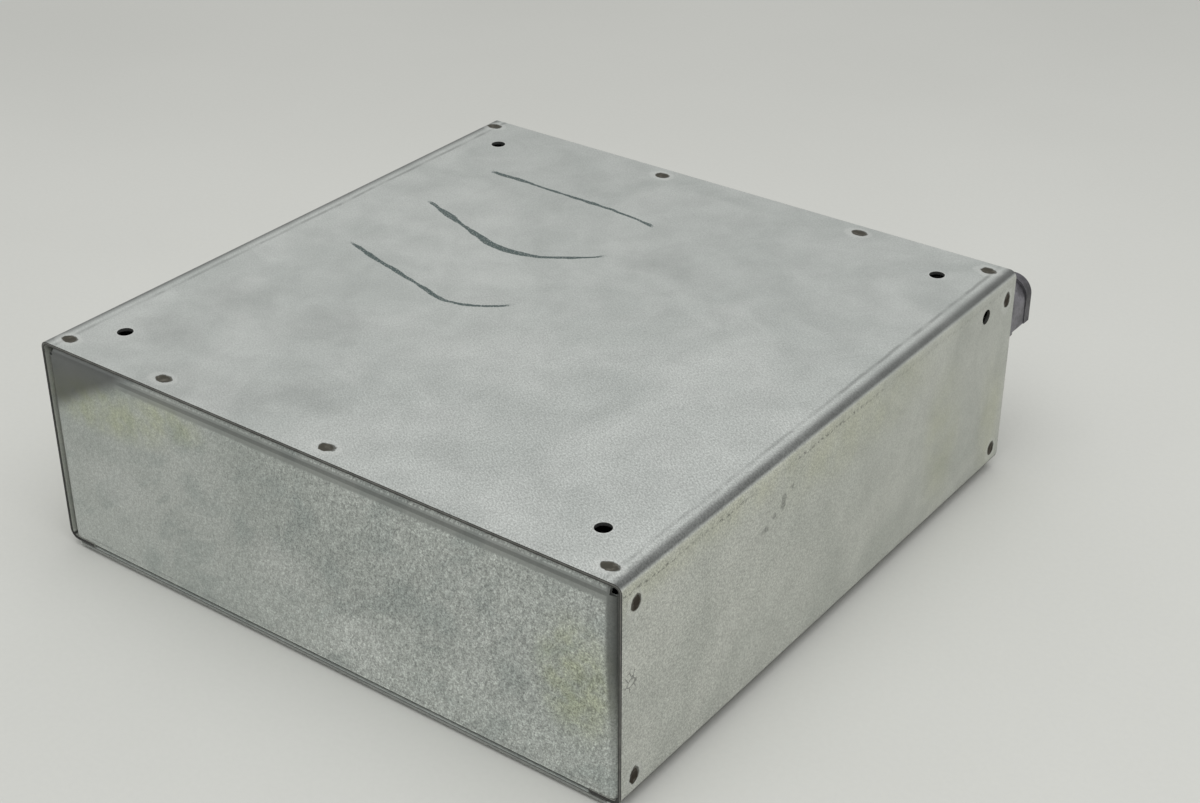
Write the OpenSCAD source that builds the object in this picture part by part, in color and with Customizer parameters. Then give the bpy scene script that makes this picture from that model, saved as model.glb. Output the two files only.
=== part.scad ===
// Galvanised screw-cover junction box, lying on its cover with the back panel up.
// Origin: centre of the outer face of the back panel.
// +Z points out of the back, towards the wall it is fixed to. +Y points out of the end that holds
// the cable connector. Millimetres.

/* [Box] */
// Width across the two side walls
box_w = 305; // [280:1:400]
// Depth from end to end
box_d = 305; // [280:1:400]
// Height from the outer face of the back to the outer face of the cover
box_h = 102; // [90:1:150]
// Thickness of the galvanised sheet
sheet_t = 1.5; // [1.2:0.1:1.9]

/* [Bends and lips] */
// Outer radius of the bends between the back and the side walls
back_r = 3.5; // [2.5:0.1:5]
// Outer radius of the bends between the side walls and their lips
lip_r = 4.5; // [3.5:0.1:6]
// Width of the lip that each side wall turns in to carry the cover
lip_w = 15; // [13:0.5:20]
// Outer radius of the end panels' upper and side bends
panel_r = 4.2; // [3.5:0.1:5]
// Distance that an end panel's face is set in from the edges of the wrapper
panel_inset = 0.35; // [0:0.05:1]
// Width of the end panels' flanges under the back
top_flange = 18; // [14:0.5:22]
// Width of the end panels' flanges along the side walls
side_flange = 23; // [16:0.5:26]

/* [Cover] */
// Distance that the cover stops short of each side wall
cover_inset = 4; // [3:0.5:6]
// Radius of the cover's corners
cover_corner_r = 3; // [1:0.5:6]
// Distance of the cover screws from the side walls' outer faces
screw_in_x = 8.5; // [8:0.5:10]
// Distance of the cover screws from the ends of the box
screw_in_y = 25; // [24:1:60]

/* [Mounting holes] */
// Spacing of the four mounting holes along both sides
mount_pitch = 254; // [200:1:260]
// Diameter of the mounting holes
mount_hole_d = 7.1; // [5:0.1:9]
// Distance of the mounting holes' middle from the back's middle, away from the connector's side
mount_shift_x = 2; // [-3:0.1:3]
// Distance of the mounting holes' middle from the back's middle, towards the connector's end
mount_shift_y = 0.8; // [-3:0.1:3]
// Diameter of the hole in the right side wall
side_hole_d = 7; // [5:0.1:9]

/* [Cable connector] */
// Distance of the connector's axis from the right side wall's outer face
conn_in_x = 24.7; // [23:0.1:60]
// Distance of the connector's axis below the back's outer face
conn_in_z = 31.3; // [29:0.1:50]
// Radius of the cable throat
throat_r = 10.4; // [8:0.1:10.6]
// Length of the connector outside the box
conn_len = 33; // [32:0.5:40]
// Gap between the clamp strap and the ears that it closes on
strap_gap = 0.6; // [0.4:0.1:1]

/* [Ground lug] */
// Distance of the ground screw from the middle of the left side wall
lug_y = 60; // [-80:1:80]
// Distance of the ground screw below the back's outer face
lug_in_z = 50; // [30:1:70]

/* [Hidden] */
$fn = 64;

half_w = box_w / 2;
half_d = box_d / 2;
weld_gap = 0.1;             // between the sheets that are spot-welded together
seat_gap = 0.3;             // between the cover and the lips it closes on
fit_gap = 0.05;             // under the heads of screws and beside other running fits
over = 1;                   // how far a cut runs past the solid it cuts

// Levels and planes of the sheet metal
lip_z = -box_h + sheet_t + seat_gap;            // outer face of the lips
panel_hw = half_w - sheet_t - weld_gap;         // half width of an end panel
panel_top = -sheet_t - weld_gap;                // top of an end panel
panel_face = half_d - panel_inset;              // outer face of an end panel
panel_foot = lip_z + sheet_t + seat_gap;        // lower edge of an end panel beside the lips
foot_hw = half_w - lip_w - seat_gap;            // half width of an end panel's lower flange
foot_corner_r = lip_r - sheet_t - weld_gap;     // round lower corners, inside the lip bends
panel_foot_r = sheet_t + 0.6;                   // outer radius of the bends to the lower flanges

// Cover screws, number 10
cover_hole_r = 2.8;
screw_major_r = 2.4;
screw_minor_r = 1.95;
screw_pitch = 0.8;
screw_len = 10;
screw_tap_r = 2.45;
screw_head_r = 4.8;
screw_head_h = 1.6;
collar_r = 3.7;
collar_h = 2.5;
screw_x = half_w - screw_in_x;
screw_y = half_d - screw_in_y;

// Spot welds: distances along the back's edges from the left wall, and heights on the walls
weld_edge = 7.5;
wall_weld_edge = 8;
near_welds = [-half_w + 9.3, -half_w + 66.7, -half_w + 158, half_w - 11.2];
far_welds = [-half_w + 6.5, -half_w + 114.2, -half_w + 226.8, half_w - 11];
wall_weld_depths = [11.5, box_h - 11.6];
weld_mark_r = 12;           // radius of the electrode's domed tip
weld_mark_depth = 0.3;

// Side hole, and the notch that clears it in the upper corner of each side flange
side_hole_y = half_d - 27.9;
side_hole_z = -11.6;
flange_notch_l = 7;
flange_notch_z = -14.7;

// Cable connector, along its own axis from the end panel's outer face
conn_x = half_w - conn_in_x;
conn_z = -conn_in_z;
knockout_r = 14.1;
hub_r = 13.2;
hub_root_r = 12.4;
hub_pitch = 1.8;
hub_turns = 6;
hub_len = sheet_t + hub_turns * hub_pitch;
shoulder_r = 16.5;
shoulder_gap = 0.1;
shoulder_t = 3;
channel_r = 10.8;
part_y = 9.2;               // parting plane of the clamp, below the axis
rim_len = 5;
rim_hw = 19;
rim_top = 13.4;
rim_corner_r = 9;
waist_hw = 18.5;
waist_top = 11.9;
waist_corner_r = 10;
clamp_hole_top = -0.5;
clamp_screw_x = 14.2;
clamp_screw_z = 15;
clamp_tap_r = 2.12;
clamp_screw_major_r = 2.05;
clamp_screw_minor_r = 1.7;
clamp_screw_pitch = 0.8;
clamp_screw_len = 12;
clamp_head_r = 3.4;
clamp_head_h = 1.8;
strap_hw = 17.4;
strap_len = 9;
strap_t = 2.2;
strap_hole_r = 2.3;
strap_bow = 3;
strap_bow_hw = 8.5;

// Locknut
nut_bore_r = 13.26;
nut_r = 16;
nut_lug_r = 18;
nut_lugs = 8;
nut_lug_w = 5.5;
nut_t = 3.2;
nut_gap = 0.3;

// Ground lug, from the left wall's inner face
lug_foot_t = 2.2;
lug_foot_hw = 6;
lug_block_h = 13;
lug_block_l = 16;
lug_block_hw = 6;
lug_wire_r = 2.6;
lug_wire_h = 6;
lug_gap = 0.1;
set_screw_r = 3.1;
set_screw_root_r = 2.7;
set_screw_tap_r = 3.16;
set_screw_len = 7.2;
set_screw_up = 9;           // lower end of the set screw above the wall
set_screw_in = 11.4;        // distance of the set screw from the foot's side of the block
ground_head_r = 5.4;
ground_hex_r = 4.6;
ground_flange_h = 1;
ground_head_h = 4.2;
slot_w = 1.2;
slot_depth = 1;

// ---- shared shapes ----

// A quarter of a ring in the +X +Y corner
module quarter_ring(r) {
    intersection() {
        difference() {
            circle(r);
            circle(r - sheet_t);
        }
        square(r + over);
    }
}

// Extrudes a profile drawn in X and Z from y0 to y1
module along_y(y0, y1) {
    translate([0, y1, 0]) rotate([90, 0, 0]) linear_extrude(y1 - y0) children();
}

// Extrudes a profile drawn in Y and Z from x0 to x1
module along_x(x0, x1) {
    translate([x0, 0, 0]) rotate([90, 0, 90]) linear_extrude(x1 - x0) children();
}

// A threaded shank that starts at the origin and runs up +Z
module thread(major_r, minor_r, pitch, turns) {
    crests = [for (i = [0 : turns - 1]) each [
        [minor_r, (i + 0.05) * pitch],
        [major_r, (i + 0.4) * pitch],
        [major_r, (i + 0.6) * pitch],
        [minor_r, (i + 0.95) * pitch]
    ]];
    foot = [[0, 0], [minor_r, 0]];
    tip = [[minor_r, turns * pitch], [0, turns * pitch]];
    rotate_extrude() polygon(concat(foot, crests, tip));
}

// A low domed head of radius r and height h whose flat side is at the origin, dome towards -Z
module domed_head(r, h, rim_h) {
    dome_h = h - rim_h;
    dome_r = (r * r + dome_h * dome_h) / (2 * dome_h);
    translate([0, 0, -rim_h]) cylinder(r = r, h = rim_h);
    intersection() {
        translate([0, 0, -h]) cylinder(r = r, h = h);
        translate([0, 0, dome_r - h]) sphere(dome_r);
    }
}

// A cross recess cut up into a head from its dome at z = -h
module cross_recess(h, arm, width, depth) {
    for (a = [0, 90]) {
        rotate(a) translate([-arm, -width / 2, -h - over]) cube([2 * arm, width, depth + over]);
    }
}

// A machine screw with its head's flat side at the origin, head down and shank up
module machine_screw(major_r, minor_r, pitch, length, head_r, head_h) {
    turns = floor(length / pitch);
    difference() {
        domed_head(head_r, head_h, 0.5);
        cross_recess(head_h, head_r * 0.55, 1, 0.9);
    }
    thread(major_r, minor_r, pitch, turns);
}

// ---- wrapper: the back, both side walls and their lips, bent from one sheet ----

module wrapper_half_profile() {
    translate([-over, -sheet_t]) square([half_w - back_r + over, sheet_t]);
    translate([half_w - back_r, -back_r]) quarter_ring(back_r);
    translate([half_w - sheet_t, lip_z + lip_r]) square([sheet_t, -back_r - lip_z - lip_r]);
    translate([half_w - lip_r, lip_z + lip_r]) mirror([0, 1]) quarter_ring(lip_r);
    translate([half_w - lip_w, lip_z]) square([lip_w - lip_r, sheet_t]);
}

// The dimple that a welding electrode leaves, on a face whose outward normal is +Z
module weld_mark() {
    translate([0, 0, weld_mark_r - weld_mark_depth]) sphere(weld_mark_r);
}

module back_weld_marks() {
    for (x = near_welds) {
        translate([x, -half_d + weld_edge, 0]) weld_mark();
    }
    for (x = far_welds) {
        translate([x, half_d - weld_edge, 0]) weld_mark();
    }
}

module wall_weld_marks() {
    for (side = [-1, 1], end = [-1, 1], depth = wall_weld_depths) {
        translate([side * half_w, end * (half_d - wall_weld_edge), -depth])
            rotate([0, side * 90, 0]) weld_mark();
    }
}

module cover_screw_places() {
    for (sx = [-1, 1], sy = [-1, 1]) {
        translate([sx * screw_x, sy * screw_y, 0]) children();
    }
}

module wrapper() {
    color("lightsteelblue")
    difference() {
        union() {
            along_y(-half_d, half_d) {
                wrapper_half_profile();
                mirror([1, 0]) wrapper_half_profile();
            }
            cover_screw_places()
                translate([0, 0, lip_z]) cylinder(r = collar_r, h = sheet_t + collar_h);
        }
        for (sx = [-1, 1], sy = [-1, 1]) {
            translate([sx * mount_pitch / 2 - mount_shift_x, sy * mount_pitch / 2 + mount_shift_y, 0])
                translate([0, 0, -sheet_t - over]) cylinder(d = mount_hole_d, h = sheet_t + 2 * over);
        }
        cover_screw_places()
            translate([0, 0, lip_z - over])
                cylinder(r = screw_tap_r, h = sheet_t + collar_h + 2 * over);
        translate([half_w - sheet_t - over, side_hole_y, side_hole_z]) rotate([0, 90, 0])
            cylinder(d = side_hole_d, h = sheet_t + 2 * over);
        translate([-half_w - over, lug_y, -lug_in_z]) rotate([0, 90, 0])
            cylinder(r = screw_tap_r, h = sheet_t + 2 * over);
        back_weld_marks();
        wall_weld_marks();
    }
}

// ---- end panels: pans with flanges turned in along the back, the walls and the cover ----

// Face, upper bend and upper flange of the near panel, drawn in Y and Z
module panel_upper_profile() {
    translate([-panel_face, panel_foot]) square([sheet_t, panel_top - panel_r - panel_foot]);
    translate([-panel_face + panel_r, panel_top - panel_r]) mirror([1, 0]) quarter_ring(panel_r);
    translate([-panel_face + panel_r, panel_top - sheet_t]) square([top_flange - panel_r, sheet_t]);
}

// The same with the lower bend and the lower flange that the cover closes on
module panel_full_profile() {
    difference() {
        panel_upper_profile();
        translate([-panel_face - over, panel_foot - over])
            square([sheet_t + 2 * over, lip_z + panel_foot_r - panel_foot + over]);
    }
    translate([-panel_face + panel_foot_r, lip_z + panel_foot_r]) rotate(180) quarter_ring(panel_foot_r);
    translate([-panel_face + panel_foot_r, lip_z]) square([lip_w - panel_foot_r, sheet_t]);
}

// Side bend and side flange of the near panel's +X side, drawn in X and Y
module panel_side_profile() {
    translate([panel_hw - panel_r - over, -panel_face]) square([over, sheet_t]);
    translate([panel_hw - panel_r, -panel_face + panel_r]) mirror([0, 1]) quarter_ring(panel_r);
    translate([panel_hw - sheet_t, -panel_face + panel_r]) square([sheet_t, side_flange - panel_r]);
}

// Outline of the panel beside the lips, with its round lower corner, drawn in X and Z
module panel_corner_outline() {
    difference() {
        translate([0, panel_foot]) square([panel_hw, panel_top - panel_r - panel_foot]);
        translate([panel_hw - foot_corner_r, panel_foot - over]) square(foot_corner_r + over);
    }
    translate([panel_hw - foot_corner_r, panel_foot + foot_corner_r]) circle(foot_corner_r);
}

module panel_half() {
    along_x(0, foot_hw) panel_full_profile();
    intersection() {
        union() {
            along_x(foot_hw - over, panel_hw - panel_r) panel_upper_profile();
            translate([0, 0, panel_foot])
                linear_extrude(panel_top - panel_r - panel_foot) panel_side_profile();
        }
        union() {
            along_y(-half_d, -half_d + side_flange + over) panel_corner_outline();
            translate([foot_hw, -half_d, panel_top - panel_r - over])
                cube([panel_hw - panel_r - foot_hw, top_flange + over, panel_r + 2 * over]);
        }
    }
}

module flange_notch() {
    translate([panel_hw - sheet_t - over, -panel_face + side_flange - flange_notch_l, flange_notch_z])
        cube([sheet_t + 2 * over, flange_notch_l + over, -flange_notch_z]);
}

module end_panel_shape() {
    for (side = [0, 1]) {
        mirror([side, 0, 0]) difference() {
            panel_half();
            flange_notch();
        }
    }
}

module near_end_panel() {
    color("silver") end_panel_shape();
}

module far_end_panel() {
    color("silver")
    difference() {
        rotate(180) end_panel_shape();
        translate([conn_x, half_d - panel_r - over, conn_z]) rotate([-90, 0, 0])
            cylinder(r = knockout_r, h = panel_r + 2 * over);
    }
}

// ---- cover ----

module cover_outline() {
    w = box_w - 2 * cover_inset;
    r = cover_corner_r;
    translate([-w / 2 + r, -half_d]) square([w - 2 * r, box_d]);
    translate([-w / 2, -half_d + r]) square([w, box_d - 2 * r]);
    for (sx = [-1, 1], sy = [-1, 1]) {
        translate([sx * (w / 2 - r), sy * (half_d - r)]) circle(r);
    }
}

module cover() {
    color("gainsboro")
    difference() {
        translate([0, 0, -box_h]) linear_extrude(sheet_t) cover_outline();
        cover_screw_places()
            translate([0, 0, -box_h - over]) cylinder(r = cover_hole_r, h = sheet_t + 2 * over);
    }
}

module cover_screw(sx, sy) {
    color("darkgray")
    translate([sx * screw_x, sy * screw_y, -box_h - fit_gap])
        machine_screw(screw_major_r, screw_minor_r, screw_pitch, screw_len, screw_head_r, screw_head_h);
}

module cover_screw_1() { cover_screw(-1, -1); }
module cover_screw_2() { cover_screw(1, -1); }
module cover_screw_3() { cover_screw(1, 1); }
module cover_screw_4() { cover_screw(-1, 1); }

// ---- cable connector: its own +Z is out of the box, its own +Y is down ----

module at_connector() {
    translate([conn_x, panel_face, conn_z]) rotate([-90, 0, 0]) children();
}

// A section with a flat lower side on the parting plane and two round upper corners
module clamp_outline(hw, top, r) {
    translate([-hw, r - top]) square([2 * hw, part_y - r + top]);
    translate([-hw + r, -top]) square([2 * (hw - r), r + over]);
    for (side = [-1, 1]) {
        translate([side * (hw - r), r - top]) circle(r);
    }
}

module channel_outline() {
    circle(channel_r);
    translate([-channel_r, 0]) square([2 * channel_r, part_y + over]);
}

module connector_body() {
    clamp_z = shoulder_gap + shoulder_t;
    color("slategray")
    at_connector() difference() {
        union() {
            translate([0, 0, -hub_len]) thread(hub_r, hub_root_r, hub_pitch, hub_turns);
            translate([0, 0, -sheet_t - over / 2]) cylinder(r = hub_root_r, h = sheet_t + over);
            translate([0, 0, shoulder_gap]) cylinder(r = shoulder_r, h = shoulder_t);
            translate([0, 0, clamp_z - over / 2])
                linear_extrude(conn_len - rim_len - clamp_z + over)
                    clamp_outline(waist_hw, waist_top, waist_corner_r);
            translate([0, 0, conn_len - rim_len])
                linear_extrude(rim_len) clamp_outline(rim_hw, rim_top, rim_corner_r);
        }
        translate([0, 0, -hub_len - over]) cylinder(r = throat_r, h = hub_len + clamp_z + 2 * over);
        translate([0, 0, clamp_z]) linear_extrude(conn_len) channel_outline();
        for (side = [-1, 1]) {
            translate([side * clamp_screw_x, clamp_hole_top, clamp_screw_z]) rotate([-90, 0, 0])
                cylinder(r = clamp_tap_r, h = part_y - clamp_hole_top + over);
        }
    }
}

module connector_locknut() {
    color("darkgray")
    at_connector() translate([0, 0, -sheet_t - nut_gap - nut_t]) difference() {
        union() {
            cylinder(r = nut_r, h = nut_t);
            for (i = [0 : nut_lugs - 1]) {
                rotate(i * 360 / nut_lugs) translate([0, -nut_lug_w / 2, 0]) intersection() {
                    cube([nut_lug_r + over, nut_lug_w, nut_t]);
                    translate([0, nut_lug_w / 2, 0]) cylinder(r = nut_lug_r, h = nut_t);
                }
            }
        }
        translate([0, 0, -over]) cylinder(r = nut_bore_r, h = nut_t + 2 * over);
    }
}

// The strap's section: flat ends and a middle that bows away from the cable
module strap_outline() {
    bow_r = (strap_bow_hw * strap_bow_hw + strap_bow * strap_bow) / (2 * strap_bow);
    top = part_y + strap_gap;
    for (side = [-1, 1]) {
        translate([side > 0 ? strap_bow_hw : -strap_hw, top]) square([strap_hw - strap_bow_hw, strap_t]);
    }
    intersection() {
        translate([0, top + strap_bow - bow_r]) difference() {
            circle(bow_r + strap_t);
            circle(bow_r);
        }
        translate([-strap_bow_hw - 0.6, top]) square([2 * strap_bow_hw + 1.2, 2 * strap_t + strap_bow]);
    }
}

module connector_strap() {
    color("lightslategray")
    at_connector() difference() {
        translate([0, 0, clamp_screw_z - strap_len / 2]) linear_extrude(strap_len) strap_outline();
        for (side = [-1, 1]) {
            translate([side * clamp_screw_x, part_y, clamp_screw_z]) rotate([-90, 0, 0])
                cylinder(r = strap_hole_r, h = strap_t + 2 * over);
        }
    }
}

module strap_screw(side) {
    color("darkgray")
    at_connector() translate([side * clamp_screw_x, part_y + strap_gap + strap_t + fit_gap, clamp_screw_z])
        rotate([90, 0, 0]) machine_screw(
            clamp_screw_major_r, clamp_screw_minor_r, clamp_screw_pitch,
            clamp_screw_len, clamp_head_r, clamp_head_h
        );
}

module strap_screw_left() { strap_screw(-1); }
module strap_screw_right() { strap_screw(1); }

// ---- ground lug: its own +Z is into the box from the left wall, its own +X is along +Y ----

module at_lug() {
    translate([-half_w + sheet_t + lug_gap, lug_y, -lug_in_z]) rotate([90, 0, 90]) children();
}

module ground_lug() {
    block_x = lug_foot_hw + 1;
    color("lightgray")
    at_lug() difference() {
        union() {
            cylinder(r = lug_foot_hw, h = lug_foot_t);
            translate([0, -lug_foot_hw, 0]) cube([block_x + over, 2 * lug_foot_hw, lug_foot_t]);
            translate([block_x, -lug_block_hw, 0]) cube([lug_block_l, 2 * lug_block_hw, lug_block_h]);
        }
        translate([0, 0, -over]) cylinder(r = cover_hole_r, h = lug_foot_t + 2 * over);
        translate([block_x - over, 0, lug_wire_h]) rotate([0, 90, 0])
            cylinder(r = lug_wire_r, h = lug_block_l + 2 * over);
        translate([block_x + set_screw_in, 0, lug_wire_h]) cylinder(r = set_screw_tap_r, h = lug_block_h);
    }
}

module ground_screw() {
    color("seagreen")
    at_lug() translate([0, 0, lug_foot_t + fit_gap]) difference() {
        union() {
            cylinder(r = ground_head_r, h = ground_flange_h);
            cylinder(r = ground_hex_r, h = ground_head_h, $fn = 6);
            mirror([0, 0, 1]) thread(screw_major_r, screw_minor_r, screw_pitch, 4);
        }
        translate([-ground_head_r, -slot_w / 2, ground_head_h - slot_depth])
            cube([2 * ground_head_r, slot_w, slot_depth + over]);
    }
}

module lug_set_screw() {
    turns = floor(set_screw_len / screw_pitch);
    color("gray")
    at_lug() translate([lug_foot_hw + 1 + set_screw_in, 0, set_screw_up]) difference() {
        thread(set_screw_r, set_screw_root_r, screw_pitch, turns);
        translate([-set_screw_r - over, -slot_w / 2, turns * screw_pitch - slot_depth])
            cube([2 * (set_screw_r + over), slot_w, slot_depth + over]);
    }
}

wrapper();
near_end_panel();
far_end_panel();
cover();
cover_screw_1();
cover_screw_2();
cover_screw_3();
cover_screw_4();
connector_body();
connector_locknut();
connector_strap();
strap_screw_left();
strap_screw_right();
ground_lug();
ground_screw();
lug_set_screw();
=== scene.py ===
import math

import bpy
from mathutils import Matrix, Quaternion, Vector


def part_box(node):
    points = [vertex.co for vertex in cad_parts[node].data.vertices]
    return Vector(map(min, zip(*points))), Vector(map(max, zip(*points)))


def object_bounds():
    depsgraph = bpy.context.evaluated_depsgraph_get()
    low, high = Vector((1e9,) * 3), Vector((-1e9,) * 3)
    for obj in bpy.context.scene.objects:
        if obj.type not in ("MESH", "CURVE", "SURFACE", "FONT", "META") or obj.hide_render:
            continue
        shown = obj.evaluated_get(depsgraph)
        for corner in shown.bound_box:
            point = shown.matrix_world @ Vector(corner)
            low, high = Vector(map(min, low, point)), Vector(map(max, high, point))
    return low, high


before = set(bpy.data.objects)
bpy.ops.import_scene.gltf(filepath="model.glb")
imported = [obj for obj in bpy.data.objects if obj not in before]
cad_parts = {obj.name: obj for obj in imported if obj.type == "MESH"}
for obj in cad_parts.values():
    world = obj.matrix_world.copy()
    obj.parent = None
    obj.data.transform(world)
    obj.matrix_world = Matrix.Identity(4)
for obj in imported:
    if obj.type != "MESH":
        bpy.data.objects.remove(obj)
cad_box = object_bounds()

# ---- sizes taken from the frame, in millimetres ----

MM = 1000.0


def box_mm(node):
    low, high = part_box(node)
    return low * MM, high * MM


wall_low, wall_high = box_mm("wrapper")
face_low, face_high = box_mm("near_end_panel")
cover_low, cover_high = box_mm("cover")
HALF_W, HALF_D = wall_high.x, wall_high.y
BEND_R = 3.5                    # outer radius of the bends at the back's two long edges
LIP_R = 4.5                     # outer radius of the bends below them
FACE_Y = face_low.y             # outer face of the near end panel
FACE_TOP = face_high.z
LIP_Z = wall_low.z              # outer face of the lips
RIM_Y = box_mm("connector_body")[1].y - 5.35    # where the connector's rim starts
RIM_SOFT = 0.6

# ---- a short way to write node trees ----


class Nodes:
    """Builds one material in the part's own millimetres. A value may be a number, tuple or socket."""

    COLOUR_A, COLOUR_B, COLOUR_OUT = 6, 7, 2    # a Mix node's sockets for colours

    def __init__(self, name):
        self.material = bpy.data.materials.new(name)
        self.material.use_nodes = True
        self.tree = self.material.node_tree
        self.shader = self.tree.nodes["Principled BSDF"]
        coordinates = self.tree.nodes.new("ShaderNodeTexCoord").outputs["Object"]
        self.p = self.vector("MULTIPLY", coordinates, (MM, MM, MM))
        split = self.tree.nodes.new("ShaderNodeSeparateXYZ")
        self.put(split.inputs[0], self.p)
        self.x, self.y, self.z = split.outputs

    def put(self, socket, value):
        if isinstance(value, bpy.types.NodeSocket):
            self.tree.links.new(value, socket)
        elif isinstance(value, tuple) and len(value) == 3 and socket.type == "RGBA":
            socket.default_value = (*value, 1)
        else:
            socket.default_value = value

    def math(self, operation, a, b=0.0, clamp=False):
        node = self.tree.nodes.new("ShaderNodeMath")
        node.operation = operation
        node.use_clamp = clamp
        self.put(node.inputs[0], a)
        self.put(node.inputs[1], b)
        return node.outputs[0]

    def add(self, *values):
        total = values[0]
        for value in values[1:]:
            total = self.math("ADD", total, value)
        return total

    def times(self, *values):
        total = values[0]
        for value in values[1:]:
            total = self.math("MULTIPLY", total, value)
        return total

    def minus(self, a, b):
        return self.math("SUBTRACT", a, b)

    def absolute(self, value):
        return self.math("ABSOLUTE", value)

    def over(self, value, edge):
        """How far value is above edge, and 0 below it."""
        return self.math("MAXIMUM", self.minus(value, edge), 0.0)

    def most(self, *masks):
        top = masks[0]
        for mask in masks[1:]:
            top = self.math("MAXIMUM", top, mask)
        return top

    def vector(self, operation, a, b=(0, 0, 0)):
        node = self.tree.nodes.new("ShaderNodeVectorMath")
        node.operation = operation
        self.put(node.inputs[0], a)
        self.put(node.inputs[1], b)
        return node.outputs["Value" if operation == "LENGTH" else "Vector"]

    def joined(self, x, y, z=0.0):
        node = self.tree.nodes.new("ShaderNodeCombineXYZ")
        for socket, value in zip(node.inputs, (x, y, z)):
            self.put(socket, value)
        return node.outputs[0]

    def turned(self, axis, degrees):
        """The place on the piece, turned about an axis so that a stretched noise runs along it."""
        node = self.tree.nodes.new("ShaderNodeVectorRotate")
        node.rotation_type = "AXIS_ANGLE"
        self.put(node.inputs["Vector"], self.p)
        node.inputs["Axis"].default_value = axis
        node.inputs["Angle"].default_value = math.radians(degrees)
        return node.outputs[0]

    def noise(self, size, detail=3.0, roughness=0.5, distortion=0.0, stretch=(1, 1, 1), at=None):
        """Noise from 0 to 1 whose features are about size millimetres, times stretch along each axis."""
        node = self.tree.nodes.new("ShaderNodeTexNoise")
        feature = tuple(size * s for s in stretch)
        self.put(node.inputs["Vector"], self.vector("DIVIDE", at or self.p, feature))
        node.inputs["Scale"].default_value = 1
        node.inputs["Detail"].default_value = detail
        node.inputs["Roughness"].default_value = roughness
        node.inputs["Distortion"].default_value = distortion
        return node.outputs["Fac"]

    def ragged(self, size, reach):
        """An offset in millimetres, up to about reach either way, that roughens an edge."""
        return self.times(self.minus(self.noise(size, detail=3, roughness=0.6), 0.5), 4 * reach)

    def cracks(self, size, width):
        node = self.tree.nodes.new("ShaderNodeTexVoronoi")
        node.feature = "DISTANCE_TO_EDGE"
        self.put(node.inputs["Vector"], self.vector("DIVIDE", self.p, (size, size, size)))
        node.inputs["Scale"].default_value = 1
        return self.step(node.outputs["Distance"], width, width / 4)

    def step(self, value, start, end, low=0.0, high=1.0):
        """Smoothly from low at start to high at end, and flat outside them."""
        node = self.tree.nodes.new("ShaderNodeMapRange")
        node.interpolation_type = "SMOOTHSTEP"
        ends = (end, start, high, low) if start > end else (start, end, low, high)
        for socket, v in zip(node.inputs, (value, *ends)):
            self.put(socket, v)
        return node.outputs[0]

    def band(self, value, centre, half, soft):
        """1 within half of centre, falling to 0 over soft."""
        return self.step(self.absolute(self.minus(value, centre)), half + soft, half)

    def spot(self, centre, radius, soft, squash=(1, 1, 1), rag=0.0):
        """1 within radius of centre, falling to 0 over soft."""
        offset = self.vector("DIVIDE", self.vector("SUBTRACT", self.p, centre), squash)
        return self.step(self.add(self.vector("LENGTH", offset), rag), radius + soft, radius)

    def spots(self, places, radius, soft, squash=(1, 1, 1), rag=0.0):
        return self.most(*(self.spot(place, radius, soft, squash, rag) for place in places))

    def mix(self, factor, a, b, blend="MIX"):
        node = self.tree.nodes.new("ShaderNodeMix")
        node.data_type = "RGBA"
        node.blend_type = blend
        self.put(node.inputs["Factor"], factor)
        self.put(node.inputs[self.COLOUR_A], a)
        self.put(node.inputs[self.COLOUR_B], b)
        return node.outputs[self.COLOUR_OUT]

    def scaled(self, colour, factor):
        node = self.tree.nodes.new("ShaderNodeVectorMath")
        node.operation = "SCALE"
        self.put(node.inputs[0], colour)
        self.put(node.inputs["Scale"], factor)
        return node.outputs[0]

    def darker(self, colour, mask, amount):
        """Colour with amount of it taken away where mask is 1."""
        return self.scaled(colour, self.minus(1.0, self.times(mask, amount)))

    def swing(self, value, amount):
        """A noise value as a factor from 1 - amount to 1 + amount. The amount may be a socket."""
        centred = self.step(value, 0.25, 0.75, -1.0, 1.0)
        return self.add(self.times(centred, amount), 1.0)

    def bump(self, height, depth, normal=None):
        """A bump whose full height is depth millimetres."""
        node = self.tree.nodes.new("ShaderNodeBump")
        node.inputs["Strength"].default_value = 1
        node.inputs["Distance"].default_value = depth / MM
        self.put(node.inputs["Height"], height)
        if normal is not None:
            self.put(node.inputs["Normal"], normal)
        return node.outputs[0]

    def finish(self, colour, roughness, normal=None, metallic=1.0, specular=0.5):
        self.put(self.shader.inputs["Base Color"], colour)
        self.put(self.shader.inputs["Roughness"], roughness)
        self.put(self.shader.inputs["Metallic"], metallic)
        self.shader.inputs["Specular IOR Level"].default_value = specular
        if normal is not None:
            self.put(self.shader.inputs["Normal"], normal)
        return self.material


# ---- galvanised sheet: its colours, including tones of painted shade and reflection, and the places of its marks in millimetres ----

SHEET_METALLIC = 0.55
ZINC = (0.528, 0.550, 0.533)
ZINC_DARK = (0.460, 0.485, 0.468)
WALL_TONE = (1.045, 1.02, 0.96)
YELLOW = (1.0, 0.99, 0.80)
PANEL = (0.486, 0.509, 0.486)
PANEL_DARK = (0.421, 0.447, 0.424)
PANEL_STAIN = (0.34, 0.375, 0.36)
PANEL_YELLOW = (0.99, 1.0, 0.78)
# Tint of the painted dark reflection in the near panel's wedge
WEDGE_REFLECTION_TONE = (1.0, 0.99, 1.03)
CUT_STEEL = (0.155, 0.155, 0.145)
BARE = (0.70, 0.71, 0.69)
BURNT = (0.062, 0.058, 0.045)
BURNT_WALL = (0.032, 0.024, 0.015)
BURNT_PALE = (0.130, 0.122, 0.102)
# Painted shade on one side of each weld's dent
WELD_RIM_SHADE = (0.046, 0.045, 0.034)
CRAYON = (0.040, 0.072, 0.070)

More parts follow.
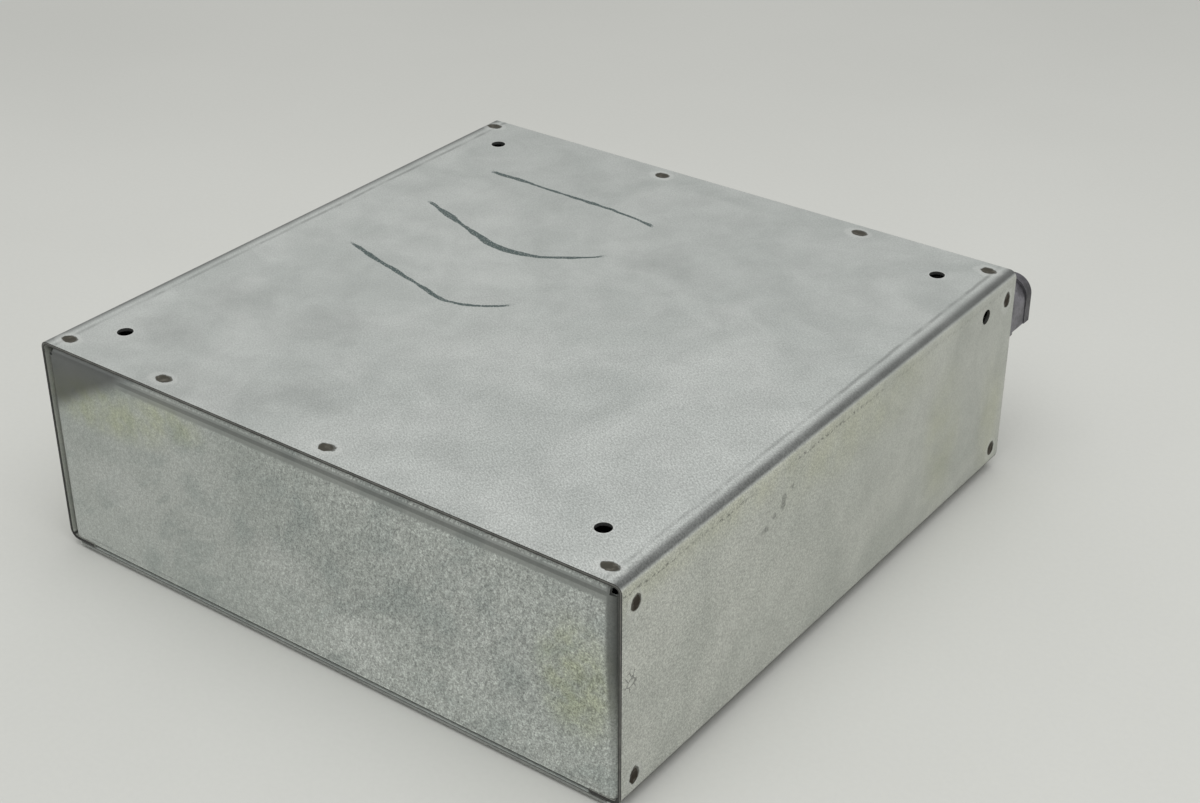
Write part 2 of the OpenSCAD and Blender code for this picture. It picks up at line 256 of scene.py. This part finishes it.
# A mask from SKIN inside a face outwards takes in that face only, and one from SKIN to DEEP leaves it out
SKIN = 0.05
EDGE_SOFT = 0.03
DEEP = 0.12

# Mounting holes; the hole in the right side wall, as Y and Z; and the cover's screws, without their signs
HOLE_R = 3.55
HOLE_PITCH = 254
HOLES_MIDDLE = (-2, 0.8, 0)
SIDE_HOLE = (HALF_D - 27.9, -11.6, 0)
COVER_SCREW = (HALF_W - 8.5, HALF_D - 25, -cover_low.z)
RUBBED_R = 5.2

# The line that the press brake's die leaves beside each bend, and the row of scuffs on the wall below it
DIE_IN = 8.3
SCUFF_ROW_Z = -5.6

# Spot welds: two rows across the back and the corners of both side walls
WELD_IN = 7.5
NEAR_ROW = (-HALF_W + 9.3, -HALF_W + 66.7, -HALF_W + 158, HALF_W - 11.2)
FAR_ROW = (-HALF_W + 6.5, -HALF_W + 114.2, -HALF_W + 226.8, HALF_W - 11)
BACK_WELDS = [(x, -HALF_D + WELD_IN, 0) for x in NEAR_ROW]
BACK_WELDS += [(x, HALF_D - WELD_IN, 0) for x in FAR_ROW]
WALL_WELD_Y = HALF_D - 8
WALL_WELD_Z = (-11.5, -90.4)
WALL_WELDS = [(s * HALF_W, e * WALL_WELD_Y, z) for s in (1, -1) for e in (-1, 1) for z in WALL_WELD_Z]

# Each ring of a weld: its radius, how softly it ends, and how far it lies off the weld's middle
WELD_HALO = (4.9, 1.6, 0)
WELD_RIM = (3.0, 0.6, 0.35)
WELD_BURN = (2.6, 0.7, 0)

# Each crayon stroke: where it starts and ends along X, its first Y, its slope, where it starts to curve
# and by how much, and half its width
STROKES = (
    (-114, -8, -3, -0.27, -45, 0.019, 1.35),
    (-115, -4, 54, -0.36, -62, 0.013, 1.8),
    (-113, -4, 99, -0.02, -40, -0.003, 1.3),
)
STROKE_TAPER = 6

# Middles of the darker clouds on the back
BACK_CLOUDS = (
    (-112, -74, 0), (-115, -114, 0), (-63, -71, 0), (-80, -141, 0),
    (-26, -120, 0), (-51, -138, 0), (20, 62, 0),
)

# Yellow places on the walls: middle, full radius, fade, and how each is stretched
WALL_TINTS = (
    ((HALF_W, -70, -3), 14, 60, (1, 3, 0.22)),
    ((HALF_W, 10, -10), 12, 30, (1, 2, 0.7)),
    ((HALF_W, 91, -57), 8, 26, (1, 0.7, 1.4)),
    ((HALF_W, 139, -70), 8, 24, (1, 0.5, 1.5)),
    ((-HALF_W, 60, -40), 16, 34, (1, 1.4, 0.9)),
)

# Handling scuffs on the right wall, written as the tints are, and a cracked flake near its near end
WALL_SCUFFS = (
    ((HALF_W, -45, -21.5), 1.4, 1.2, (1, 1, 1.8)),
    ((HALF_W, -52, -24), 0.8, 1.0, (1, 1, 1)),
    ((HALF_W, -58, -27), 1.0, 1.2, (1, 1.5, 1)),
    ((HALF_W, -39, -17), 0.6, 0.8, (1, 1, 1)),
)
FLAKE = (HALF_W, -147, -44)

# Stained and pale places on the near panel's face, as X and Z
PANEL_STAINS = (
    (-67, -43), (-39, -51), (-2, -31), (10, -53), (47, -47), (68, -51), (101, -63), (-98, -92), (-72, -19),
)
PANEL_PALES = ((-18, -62), (24, -81), (-115, -60))

# Yellow places on the near panel, written as the walls' are
PANEL_TINTS = (
    ((face_low.x + 30, FACE_Y, -22), 9, 22, (1.7, 3, 0.55)),
    ((face_high.x - 19, FACE_Y, -50), 9, 18, (0.9, 3, 1.3)),
    ((-80, FACE_Y, -15), 3, 12, (2, 3, 0.8)),
)


# ---- what several sheets share ----


def tints(n, places):
    return n.most(*(n.spot(*place) for place in places))


def top_bend(n):
    """How far out and how far up a point lies from the middle lines of the back's two long bends."""
    return n.over(n.absolute(n.x), HALF_W - BEND_R), n.over(n.z, -BEND_R)


def clouds(n, size):
    """The zinc's own clouds, about size millimetres across."""
    cloud = n.noise(size, detail=4, roughness=0.55, distortion=1.0)
    return n.mix(n.step(cloud, 0.3, 0.68), ZINC_DARK, ZINC)


# ---- the wrapper's marks and painted shade ----


def weld_burns(n, colour, on_back):
    """Burnt ovals where the electrodes pressed, with a dark rim on one side as painted shade of the dent,
    and a halo of clean zinc.
    """
    rag = n.ragged(5, 0.75)
    masks = []
    for radius, soft, shift in (WELD_HALO, WELD_RIM, WELD_BURN):
        on_top = [(x + shift, y + shift, z) for x, y, z in BACK_WELDS]
        on_sides = [(x, y + shift, z + shift) for x, y, z in WALL_WELDS]
        back = n.spots(on_top, radius, soft, (1.2, 0.88, 1), rag)
        walls = n.spots(on_sides, radius, soft, (1, 0.88, 1.15), rag)
        masks.append(n.most(back, walls))
    halo, rim, burn = masks
    colour = n.mix(n.times(halo, 0.25), colour, BARE)
    # Painted shade on one side of the dent
    colour = n.mix(n.times(rim, 0.85), colour, WELD_RIM_SHADE)
    crust = n.step(n.noise(3.5, detail=4), 0.45, 0.72)
    inside = n.mix(crust, n.mix(on_back, BURNT_WALL, BURNT), BURNT_PALE)
    return n.mix(burn, colour, inside), burn


def crayon_strokes(n):
    """Three loose crayon strokes across the back's far left quarter, which say nothing."""
    wander = n.ragged(16, 0.7)
    strokes = []
    for start, end, first_y, slope, curve_from, curve, width in STROKES:
        along = n.over(n.x, start)
        bend = n.math("POWER", n.over(n.x, curve_from), 2)
        line = n.add(first_y, n.times(along, slope), n.times(bend, curve), wander)
        press = n.step(n.noise(22, detail=2), 0.35, 0.65, 0.45, 1.2)
        away = n.absolute(n.minus(n.y, line))
        ink = n.step(n.minus(away, n.times(press, width)), 0.55, -0.1)
        starts = n.step(n.x, start, start + STROKE_TAPER)
        ends = n.step(n.x, end, end - STROKE_TAPER)
        strokes.append(n.times(ink, starts, ends))
    lines = n.most(*strokes)
    crumbs = n.step(n.add(n.noise(0.8, detail=3, roughness=0.7), n.times(lines, 0.32)), 0.62, 0.80)
    return n.times(lines, crumbs, n.step(n.z, -0.5, -0.2), 0.92)


def zinc_grain(n, on_back):
    """Fine grain, in short dashes on the back, and its strength, which grows to the near right corner."""
    dashes = n.noise(0.62, detail=3, roughness=0.75, stretch=(1.9, 1.1, 1), at=n.turned((0, 0, 1), 36))
    specks = n.noise(0.75, detail=3, roughness=0.75)
    grain = n.mix(on_back, specks, dashes)
    from_corner = n.vector("LENGTH", n.vector("SUBTRACT", n.p, (HALF_W, -HALF_D, 0)))
    return grain, n.step(from_corner, 270, 60, 0.13, 0.36)


def bend_marks_and_shade(n, colour, on_back, on_wall):
    """The press brake's die line along the back's two long bends and a row of scuffs on the wall below them,
    with painted shade on those bends and on the lips' bends.
    """
    ax = n.absolute(n.x)
    wave = n.ragged(34, 0.5)
    # a dark line along each bend on the back
    line = n.band(n.add(ax, wave), HALF_W - DIE_IN, 0.1, 1.4)
    die = n.times(line, on_back, n.step(n.y, -60, 30, 0.7, 1.0))
    die = n.times(die, n.step(n.noise(10, detail=3), 0.35, 0.6, 0.35, 1))
    colour = n.darker(colour, die, 0.36)
    # the bend itself, with painted shade on its top half: arc is the way along it from where it leaves the
    # back
    over, rise = top_bend(n)
    turn = n.math("ARCTAN2", over, rise)
    arc = n.add(n.math("MINIMUM", n.minus(ax, HALF_W - BEND_R), 0.0), n.times(turn, BEND_R))
    patchy = n.step(n.noise(40, detail=2), 0.3, 0.7, 0.9, 1)
    bend = n.times(n.step(arc, -3.1, 1.5), n.step(arc, 3.9, 2.3), patchy)
    colour = n.darker(colour, bend, 0.74)
    # a row of pressed scuffs on the wall below it
    row = n.times(
        n.band(n.add(n.z, wave), SCUFF_ROW_Z, 0.3, 0.9),
        n.step(n.noise(1.4, detail=4, roughness=0.65, stretch=(1, 1.5, 1)), 0.47, 0.60),
        n.step(n.noise(45, detail=1), 0.38, 0.55, 0.25, 1),
        n.step(n.y, 60, -30, 0.3, 1),
        on_wall,
    )
    colour = n.darker(colour, row, 0.60)
    # painted shade on the lower part of the lips' bends, on their outer side
    low = n.step(n.z, LIP_Z + LIP_R - 1.0, LIP_Z + LIP_R - 2.0)
    return n.darker(colour, n.times(low, n.step(ax, HALF_W - 3.8, HALF_W - 2.4)), 0.92)


def handling_marks(n, colour):
    """Scuffs near the middle of the right wall and a cracked flake near its near end."""
    rag = n.ragged(2.6, 1.1)
    scuffs = n.most(*(n.spot(*place, rag) for place in WALL_SCUFFS))
    flake = n.times(n.cracks(3.4, 0.10), n.spot(FLAKE, 3.2, 1.5, (1, 1, 1.3), rag))
    return n.darker(n.darker(colour, scuffs, 0.34), flake, 0.55)


def holes(n, colour, on_back):
    """A bare bright ring around each mounting hole, and the holes' own dark walls."""
    from_middle = n.vector("ABSOLUTE", n.vector("SUBTRACT", n.joined(n.x, n.y), HOLES_MIDDLE))
    hole = n.vector("LENGTH", n.vector("SUBTRACT", from_middle, (HOLE_PITCH / 2, HOLE_PITCH / 2, 0)))
    ring = n.times(n.band(hole, HOLE_R + 0.25, 0.15, 0.3), on_back, 0.25)
    side_hole = n.vector("LENGTH", n.vector("SUBTRACT", n.joined(n.y, n.z), SIDE_HOLE))
    in_back = n.times(n.step(hole, HOLE_R + 0.05, HOLE_R + 0.02), n.step(n.z, -SKIN, -DEEP))
    in_wall = n.times(
        n.step(side_hole, HOLE_R, HOLE_R - 0.03),
        n.step(n.x, HALF_W - SKIN, HALF_W - DEEP),
        n.step(n.x, 100, 101),
    )
    return n.darker(n.mix(ring, colour, BARE), n.most(in_back, in_wall), 0.8)


def cut_ends(n, colour):
    """The sheet's cut edges at both ends: bare steel, darker along the sheet's outer face, with painted
    shade along its inner face beside the gap to the panel and on the left.
    """
    over, rise = top_bend(n)
    depth = n.minus(BEND_R, n.vector("LENGTH", n.joined(over, rise)))
    cut = n.step(n.absolute(n.y), HALF_D - SKIN, HALF_D - SKIN + EDGE_SOFT)
    steel = n.scaled(CUT_STEEL, n.swing(n.noise(3.5, detail=3), 0.22))
    # Darker along the outer face, and painted shade along the inner face beside the gap to the panel
    steel = n.darker(steel, n.most(n.step(depth, 0.5, 0.3), n.step(depth, 0.8, 1.05)), 0.62)
    # Painted shade on the cut edges at the left
    steel = n.darker(steel, n.times(n.step(n.x, -140, -150), n.step(n.z, -2, -5)), 0.72)
    return n.mix(cut, colour, steel)


def make_wrapper():
    """Clouded zinc with fine grain, pits and scratches, and all the marks and painted shade above."""
    n = Nodes("galvanised_wrapper")
    on_back = n.step(n.z, -2.4, -1.0)
    on_wall = n.minus(1.0, on_back)
    colour = clouds(n, 58)
    colour = n.scaled(colour, n.swing(n.noise(16, detail=5, roughness=0.62, distortion=0.5), 0.055))
    colour = n.darker(colour, n.spots(BACK_CLOUDS, 4, 16, (1.3, 1, 1), n.ragged(11, 5)), 0.10)
    colour = n.darker(colour, n.step(n.y, 0, HALF_D), 0.05)
    # the walls are a little warmer, and yellow along the bend and towards the far end
    colour = n.mix(n.times(on_wall, 0.75), colour, WALL_TONE, "MULTIPLY")
    tint = n.times(tints(n, WALL_TINTS), on_wall, n.step(n.noise(22, detail=4), 0.3, 0.7, 0.15, 0.5))
    colour = n.mix(tint, colour, YELLOW, "MULTIPLY")
    grain, strength = zinc_grain(n, on_back)
    colour = n.scaled(colour, n.swing(grain, strength))
    pits = n.step(n.noise(1.3, detail=3, roughness=0.7, distortion=0.5), 0.66, 0.76)
    colour = n.darker(colour, pits, n.times(strength, 0.9))
    # faint scratches in two directions
    for degrees in (24, -52):
        at = n.turned((0, 0, 1), degrees)
        lines = n.step(n.noise(1.0, detail=1, stretch=(34, 0.45, 1), at=at), 0.69, 0.76)
        here = n.step(n.noise(42, detail=1, at=at), 0.52, 0.64)
        colour = n.darker(colour, n.times(lines, here, on_back), 0.20)
    colour = bend_marks_and_shade(n, colour, on_back, on_wall)
    colour = handling_marks(n, colour)
    colour = holes(n, colour, on_back)
    colour, burn = weld_burns(n, colour, on_back)
    colour = n.mix(crayon_strokes(n), colour, CRAYON)
    colour = cut_ends(n, colour)
    roughness = n.step(n.noise(26, detail=5, roughness=0.6), 0.3, 0.7, 0.42, 0.53)
    roughness = n.add(roughness, n.times(burn, 0.2))
    normal = n.bump(grain, 0.06, n.bump(n.noise(9, detail=2), 0.04))
    return n.finish(colour, roughness, normal, SHEET_METALLIC)


# ---- the end panels ----

OUTSIDE_Y = HALF_D - 1.75       # just outside the inner face of the panels' sheet
OUTSIDE_X = face_high.x - 1.35  # the same for their right flange
# Top of the strip of painted shade along the top bend
SHADE_SHELF_TOP = FACE_TOP - 2.1      # the smooth dark strip along the top bend
# The wedge below is a painted dark reflection on the near face
WEDGE_SLOPE = 0.55              # the wedge's lower edge rises this much for each millimetre towards +X
WEDGE_Z = 51.0                  # its height above the back where X is 0
RIGHT_BEND_IN = 3.6             # from the panel's right side to the inner edge of its bend


def panel_face(n, near):
    """Mottled patches that slope across the face. The near panel has stained, pale and yellow places too."""
    slant = n.turned((0, 1, 0), 38)
    streaks = n.noise(22, detail=5, roughness=0.62, distortion=0.8, stretch=(1.9, 1, 0.75), at=slant)
    colour = n.mix(n.step(n.noise(70, detail=3), 0.3, 0.68), PANEL_DARK, PANEL)
    colour = n.mix(n.step(streaks, 0.50, 0.66, 0, 0.52), colour, PANEL_STAIN)
    if not near:
        return colour
    places = [(x, FACE_Y, z) for x, z in PANEL_STAINS]
    stains = n.spots(places, 2, 9, (0.9, 3, 1.15), n.ragged(7, 3.2))
    colour = n.mix(n.times(stains, 0.55), colour, PANEL_STAIN)
    places = [(x, FACE_Y, z) for x, z in PANEL_PALES]
    pale = n.spots(places, 4, 14, (1.5, 3, 1), n.ragged(8, 3))
    colour = n.mix(n.times(pale, 0.25), colour, BARE)
    tint = n.times(tints(n, PANEL_TINTS), n.step(n.noise(9, detail=4), 0.3, 0.65, 0.25, 0.85))
    return n.mix(tint, colour, PANEL_YELLOW, "MULTIPLY")


def panel_bends(n, near):
    """Masks of painted shade on the smooth top bend, of a painted dark reflection in a wedge below the near
    panel's left end, and of painted shade on the right bend.

    Only the sheet's outer side has them, not the flanges and faces inside the box.
    """
    ay = n.absolute(n.y)
    outside = n.step(ay, OUTSIDE_Y, OUTSIDE_Y + 0.2)
    side = n.times(n.step(ay, HALF_D - 4.9, HALF_D - 3.9), n.step(n.x, OUTSIDE_X, OUTSIDE_X + 0.3))
    wedge = 0.0
    if near:
        # The wedge: a painted dark reflection over the near face's upper left
        wedge_edge = n.add(n.times(n.x, WEDGE_SLOPE), n.ragged(16, 0.9), WEDGE_Z)
        at_left = n.step(n.x, face_low.x + 72, face_low.x + 40)
        wedge = n.times(n.step(n.minus(n.z, wedge_edge), -5, 5), at_left, outside)
    # Painted shade on the top bend: a strip below its top and a darker band across it
    below = n.step(n.add(n.z, n.ragged(12, 0.3)), -9.9, -8.5)
    shelf_shade = n.times(below, n.step(n.z, SHADE_SHELF_TOP, SHADE_SHELF_TOP - 0.7), outside)
    groove_shade = n.times(n.band(n.z, -5.9, 0.7, 0.9), outside)
    # Painted shade along the right bend, weaker towards the bottom
    inner = n.add(face_high.x - RIGHT_BEND_IN, n.times(n.step(n.z, -70, -30), -1.9), n.ragged(14, 0.2))
    turned_in = n.minus(n.x, inner)
    right = n.add(n.times(n.step(turned_in, -1.4, 0.9), 0.75), n.times(n.step(turned_in, 0.6, 4.6), 0.25))
    right = n.times(right, n.step(n.z, -98, -36, 0.15, 1), n.most(outside, side))
    return wedge, shelf_shade, groove_shade, right


def panel_grain(n, colour, smooth):
    """Orange-peel grain, coarser and stronger towards +X, that stops at the smooth bends."""
    along = n.step(n.x, face_low.x + 10, face_high.x - 60)
    rough_part = n.minus(1.0, n.times(smooth, 0.85))
    slant = n.turned((0, 1, 0), -20)
    fine = n.noise(0.8, detail=3, roughness=0.75)
    peel = n.noise(1.7, detail=3, roughness=0.66, distortion=0.8, stretch=(0.75, 1, 1.35), at=slant)
    colour = n.scaled(colour, n.swing(fine, n.times(n.step(along, 0, 1, 0.24, 0.42), rough_part)))
    colour = n.scaled(colour, n.swing(peel, n.times(n.step(along, 0, 1, 0.10, 0.32), rough_part)))
    sparkle = n.step(n.noise(0.9, detail=2, roughness=0.8), 0.64, 0.72)
    colour = n.mix(n.times(sparkle, rough_part, n.step(along, 0, 1, 0.12, 0.5)), colour, BARE)
    return colour, n.times(n.add(peel, fine), n.minus(1.0, smooth))


def panel_foot(n, colour):
    """Painted shade along a faint crease above the lower bend, a painted highlight along the bend's outside
    with painted shade below it, and painted light that makes the face a little lighter towards the bottom.
    """
    # Painted shade along the faint crease
    crease = n.times(n.band(n.z, LIP_Z + 3.6, 0.1, 0.5), n.step(n.noise(14, detail=3), 0.40, 0.55))
    colour = n.darker(colour, crease, 0.2)
    # Painted highlight along the lower bend's outside
    colour = n.scaled(colour, n.step(n.z, LIP_Z + 2.1, LIP_Z + 1.4, 1.0, 1.4))
    # Painted shade at the very bottom
    colour = n.darker(colour, n.step(n.z, LIP_Z + 0.5, LIP_Z), 0.8)
    # Painted light: the face a little lighter towards the bottom
    return n.scaled(colour, n.step(n.z, -60, -92, 1.0, 1.1))


def make_panel(name, near):
    """An end panel: the mottled face with its grain, with painted shade on its smooth bends and, on the near
    panel, a painted dark reflection in the wedge below its left end.
    """
    n = Nodes(name)
    wedge, shelf_shade, groove_shade, right = panel_bends(n, near)
    smooth = n.most(wedge, shelf_shade, groove_shade, right)
    colour, height = panel_grain(n, panel_face(n, near), smooth)
    # The wedge's painted dark reflection, weaker along the top bend so that a painted highlight line shows
    # there
    wedge_reflection_dark = n.times(wedge, n.step(n.z, -4.3, -3.3, 0.70, 0.50))
    # Painted shade on the top bend and the right bend, and the wedge's painted dark reflection
    dark = n.most(wedge_reflection_dark, n.times(shelf_shade, 0.33), n.times(right, 0.80), n.times(groove_shade, 0.56))
    colour = n.scaled(colour, n.minus(1.0, dark))
    # A slight purple tint in the wedge's painted reflection
    colour = n.mix(n.times(wedge, 0.7), colour, WEDGE_REFLECTION_TONE, "MULTIPLY")
    colour = panel_foot(n, colour)
    roughness = n.step(n.noise(19, detail=5, roughness=0.6), 0.3, 0.7, 0.44, 0.58)
    roughness = n.minus(roughness, n.times(smooth, 0.10))
    return n.finish(colour, roughness, n.bump(height, 0.08), SHEET_METALLIC)


# ---- the cover ----


def make_cover():
    """Clouded sheet with faint scratches, rings rubbed by the screws' heads and darker cut edges, with
    painted shade along the top of those edges where they meet the lips.
    """
    n = Nodes("galvanised_cover")
    grain = n.noise(0.7, detail=3, roughness=0.75, stretch=(1.8, 1, 1))
    colour = n.scaled(clouds(n, 55), n.swing(grain, 0.2))
    lines = n.step(n.noise(1.2, detail=1, stretch=(30, 0.5, 1), at=n.turned((0, 0, 1), 15)), 0.68, 0.76)
    colour = n.darker(colour, n.times(lines, n.step(n.noise(35, detail=1), 0.48, 0.6)), 0.25)
    screw = n.vector("LENGTH", n.vector("SUBTRACT", n.vector("ABSOLUTE", n.p), COVER_SCREW))
    rubbed = n.times(n.band(screw, RUBBED_R, 0.3, 0.7), n.step(n.noise(3, detail=3), 0.35, 0.6))
    colour = n.darker(colour, rubbed, 0.35)
    ends = n.step(n.absolute(n.y), cover_high.y - SKIN, cover_high.y - SKIN + EDGE_SOFT)
    sides = n.step(n.absolute(n.x), cover_high.x - SKIN, cover_high.x - SKIN + EDGE_SOFT)
    edge = n.most(ends, sides)
    colour = n.mix(n.times(edge, 0.50), colour, n.scaled(CUT_STEEL, n.swing(n.noise(4, detail=3), 0.3)))
    # Painted shade along the top of the cut edges, where they meet the lips
    under_lip_shade = n.step(n.z, cover_high.z - 0.6, cover_high.z - 0.2)
    colour = n.darker(colour, n.times(edge, under_lip_shade), 0.7)
    roughness = n.step(n.noise(24, detail=5), 0.3, 0.7, 0.42, 0.54)
    return n.finish(colour, roughness, n.bump(grain, 0.05), SHEET_METALLIC)


# ---- small parts ----

WORN = (0.7, 0.7, 0.68)
EDGE_R = 0.5


def edge_wear(n, radius):
    """1 where the surface turns sharply within radius millimetres."""
    bevel = n.tree.nodes.new("ShaderNodeBevel")
    bevel.samples = 6
    bevel.inputs["Radius"].default_value = radius / MM
    dot = n.tree.nodes.new("ShaderNodeVectorMath")
    dot.operation = "DOT_PRODUCT"
    n.put(dot.inputs[0], bevel.outputs[0])
    n.put(dot.inputs[1], n.tree.nodes.new("ShaderNodeNewGeometry").outputs["Normal"])
    return n.step(dot.outputs["Value"], 0.99, 0.86)


def small_part(n, base, dark, size, roughness, grainy=0.12, wear=WORN, wear_by=0.4, metallic=1.0):
    """Clouded colour, grain of about size millimetres and bright worn edges."""
    colour = n.mix(n.step(n.noise(size * 6, detail=4, roughness=0.6), 0.32, 0.66), dark, base)
    grain = n.noise(size, detail=4, roughness=0.68)
    colour = n.scaled(colour, n.swing(grain, grainy))
    worn = n.times(edge_wear(n, EDGE_R), n.step(n.noise(size * 3, detail=3), 0.35, 0.6))
    colour = n.mix(n.times(worn, wear_by), colour, wear)
    rough = n.step(n.noise(size * 4, detail=4), 0.3, 0.7, roughness - 0.08, roughness + 0.08)
    return n.finish(colour, rough, n.bump(grain, 0.4 * grainy), metallic)


def make_die_cast():
    """Grey casting that is darker at its rim than on its body."""
    n = Nodes("die_cast_zinc")
    tone = n.step(n.y, RIM_Y, RIM_Y + RIM_SOFT, 1.2, 0.62)
    base = n.scaled((0.20, 0.195, 0.215), tone)
    dark = n.scaled((0.12, 0.118, 0.128), tone)
    wear = (0.36, 0.36, 0.37)
    return small_part(n, base, dark, 1.1, 0.5, grainy=0.2, wear=wear, wear_by=0.35, metallic=0.6)


def make_green():
    return small_part(
        Nodes("green_steel"), (0.03, 0.20, 0.07), (0.02, 0.12, 0.045), 0.9, 0.35,
        wear=(0.5, 0.52, 0.5), wear_by=0.5, metallic=0.5,
    )


plated = small_part(Nodes("plated_steel"), (0.60, 0.61, 0.60), (0.42, 0.43, 0.42), 0.8, 0.38)
materials = {
    "wrapper": make_wrapper(),
    "near_end_panel": make_panel("galvanised_near_panel", True),
    "far_end_panel": make_panel("galvanised_far_panel", False),
    "cover": make_cover(),
    "connector_body": make_die_cast(),
    "connector_strap": small_part(
        Nodes("strap_steel"), (0.30, 0.30, 0.31), (0.2, 0.2, 0.21), 0.9, 0.45, grainy=0.15,
    ),
    "ground_lug": small_part(Nodes("lug_aluminium"), (0.70, 0.71, 0.72), (0.55, 0.56, 0.57), 0.9, 0.4),
    "ground_screw": make_green(),
}
for name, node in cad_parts.items():
    for slot in node.material_slots:
        slot.material = materials.get(name, plated)

# ---- floor, light and camera, in metres ----

FLOOR_SIDE = 12
PAPER = (0.637, 0.642, 0.614)
PAPER_DARK = (0.62, 0.625, 0.597)
SKY = (0.985, 0.985, 0.97, 1)
SKY_STRENGTH = 0.64
LAMP_AT = (0.35, -0.3, 1.6)
LAMP_AIM = (0.05, -0.05, 0)
LAMP_SIDE = 1.8
LAMP_WATTS = 16.5
AZIMUTH, ELEVATION, ROLL = math.radians(36.442), math.radians(30.186), math.radians(-0.064)
AIM = Vector((0.0192, 0.0151, -0.0497))
DISTANCE = 0.9077
LENS_MM = 60.317


def make_floor():
    """Off-white paper, with painted shade that makes it a little darker far behind the box."""
    n = Nodes("floor_paper")
    colour = n.mix(n.step(n.noise(260, detail=4), 0.3, 0.7), PAPER_DARK, PAPER)
    colour = n.scaled(colour, n.swing(n.noise(2.5, detail=3), 0.008))
    # Painted shade: the paper a little darker far behind the box, where less light reaches
    behind = n.minus(n.y, n.times(n.x, 0.74))
    colour = n.darker(colour, n.step(behind, 150, 900), 0.09)
    return n.finish(colour, 0.8, metallic=0.0, specular=0.03)


bpy.ops.mesh.primitive_plane_add(size=FLOOR_SIDE)
floor = bpy.context.object
floor.name = "floor"
floor.location.z = cad_box[0].z
floor.data.materials.append(make_floor())

scene = bpy.context.scene
scene.view_settings.view_transform = "Standard"

world = bpy.data.worlds.new("studio")
world.use_nodes = True
scene.world = world
background = world.node_tree.nodes["Background"]
background.inputs["Color"].default_value = SKY
background.inputs["Strength"].default_value = SKY_STRENGTH

light = bpy.data.lights.new("overhead", "AREA")
light.shape = "SQUARE"
light.size = LAMP_SIDE
light.energy = LAMP_WATTS
lamp = bpy.data.objects.new("overhead", light)
scene.collection.objects.link(lamp)
lamp.location = LAMP_AT
lamp.rotation_mode = "QUATERNION"
lamp.rotation_quaternion = (Vector(LAMP_AIM) - Vector(LAMP_AT)).to_track_quat("-Z", "Y")

camera_data = bpy.data.cameras.new("camera")
camera_data.sensor_width = 36
camera_data.lens = LENS_MM
camera = bpy.data.objects.new("camera", camera_data)
scene.collection.objects.link(camera)
towards = Vector((
    math.sin(AZIMUTH) * math.cos(ELEVATION), -math.cos(AZIMUTH) * math.cos(ELEVATION), math.sin(ELEVATION),
))
camera.location = AIM + DISTANCE * towards
camera.rotation_mode = "QUATERNION"
camera.rotation_quaternion = (-towards).to_track_quat("-Z", "Y") @ Quaternion((0, 0, 1), ROLL)
scene.camera = camera
